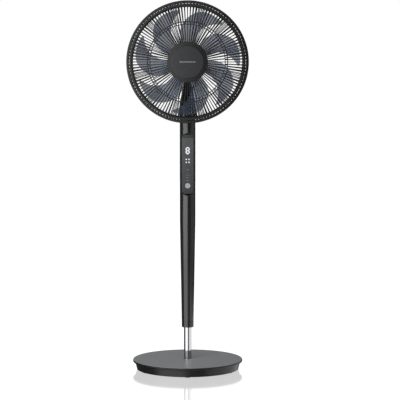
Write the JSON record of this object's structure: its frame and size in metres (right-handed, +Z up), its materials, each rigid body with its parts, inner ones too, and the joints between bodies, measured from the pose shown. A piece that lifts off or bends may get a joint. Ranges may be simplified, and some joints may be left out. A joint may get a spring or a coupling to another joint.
{
  "type": "pedestal fan",
  "caption": "Pedestal fan with a weighted round base, chrome telescopic pole, tapered control column, oscillating neck and tilting ribbed cage around translucent blades.",
  "frame": {"origin": "on the floor, under the feet, on the axis of the pole and column", "axes": "+Z up along the pole, -Y the way the fan faces and blows, +X to the right seen from the front"},
  "size_m": [0.3999, 0.368, 1.23],
  "materials": {
    "satin_base": "satin dark grey moulded cover with a fine texture",
    "black_plastic": "satin black moulded plastic",
    "column_plastic": "satin anthracite moulded plastic with a soft sheen",
    "panel_lens": "satin grey printed lens",
    "lit_display": "lit white light window",
    "button_plastic": "satin light grey plastic",
    "badge_plastic": "satin anthracite disc",
    "mark_print": "plain silver-grey bar",
    "smoke_blade": "translucent smoke blue-grey plastic",
    "chrome": "polished chrome plate",
    "plain_steel": "zinc-plated steel",
    "cast_weight": "dark cast iron",
    "black_rubber": "matte black rubber",
    "grey_nylon": "dark grey nylon",
    "white_plastic": "natural acetal",
    "circuit_board": "green circuit board",
    "copper_winding": "enamelled copper wire"
  },
  "bodies": {
    "base": {"base_plate": "satin_base", "base_skirt": "black_plastic", "base_weight": "cast_weight", "pole_socket": "plain_steel", "base_screws": "plain_steel", "rubber_feet": "black_rubber", "power_inlet": "black_plastic", "chrome_pole": "chrome", "pole_end_cap": "black_plastic"},
    "collar": {"lock_collar": "column_plastic"},
    "column": {"clamp_bush": "grey_nylon", "guide_bush": "grey_nylon", "column_front_shell": "column_plastic", "column_rear_shell": "column_plastic", "column_screws": "plain_steel", "control_lens": "panel_lens", "display_digit": "lit_display", "mode_icons": "lit_display", "display_module": "white_plastic", "control_board": "circuit_board", "power_switch": "black_plastic", "top_cap": "black_plastic", "swivel_bush": "white_plastic", "motor_bracket": "plain_steel", "osc_motor": "plain_steel", "bracket_screws": "plain_steel"},
    "button": {"power_button": "button_plastic", "button_symbol": "black_plastic"},
    "pinion": {"osc_pinion": "white_plastic", "pinion_shaft": "plain_steel"},
    "neck": {"neck_post": "black_plastic", "swivel_shaft": "plain_steel", "osc_gear": "white_plastic", "gear_clip": "plain_steel", "tilt_bolt": "plain_steel", "tilt_nut": "plain_steel", "tilt_washers": "plain_steel"},
    "head": {"motor_housing_front": "black_plastic", "motor_housing_rear": "black_plastic", "housing_screws": "plain_steel", "stator_core": "cast_weight", "stator_coils": "copper_winding", "driver_board": "circuit_board", "shaft_bearings": "plain_steel", "rear_grille": "black_plastic", "grille_lock_nut": "black_plastic", "front_grille": "black_plastic", "grille_ring": "black_plastic", "ring_screw": "plain_steel", "badge": "badge_plastic", "badge_mark": "mark_print"},
    "rotor": {"motor_shaft": "plain_steel", "rotor_magnet": "cast_weight", "fan_blade": "smoke_blade", "spinner_nut": "black_plastic", "drive_pin": "plain_steel"}
  },
  "joints": [
    {"name": "height_slide", "type": "slide", "parent": "base", "child": "column", "axis": [0, 0, 1], "range_m": [-0.1, 0.15]},
    {"name": "collar_twist", "type": "hinge", "parent": "column", "child": "collar", "pos_m": [0, 0, 0.152], "axis": [0, 0, 1], "range_deg": [-60, 0]},
    {"name": "button_press", "type": "slide", "parent": "column", "child": "button", "axis": [0, 1, 0], "range_m": [0, 0.0008], "stiffness_N_per_m": 800},
    {"name": "oscillation", "type": "hinge", "parent": "column", "child": "neck", "pos_m": [0, 0, 0.903], "axis": [0, 0, 1], "range_deg": [-40, 40]},
    {"name": "pinion_spin", "type": "hinge", "parent": "column", "child": "pinion", "pos_m": [0, 0.016, 0.881], "axis": [0, 0, 1], "range_deg": [-94, 94]},
    {"name": "head_tilt", "type": "hinge", "parent": "neck", "child": "head", "pos_m": [0, 0, 0.958], "axis": [-1, 0, 0], "range_deg": [-10, 20]},
    {"name": "blade_spin", "type": "hinge", "parent": "head", "child": "rotor", "pos_m": [0, -0.105, 1.03], "axis": [0, 1, 0], "continuous": true}
  ],
  "couplings": [
    {"joint": "pinion_spin", "follows": "oscillation", "ratio": -2.3333}
  ]
}
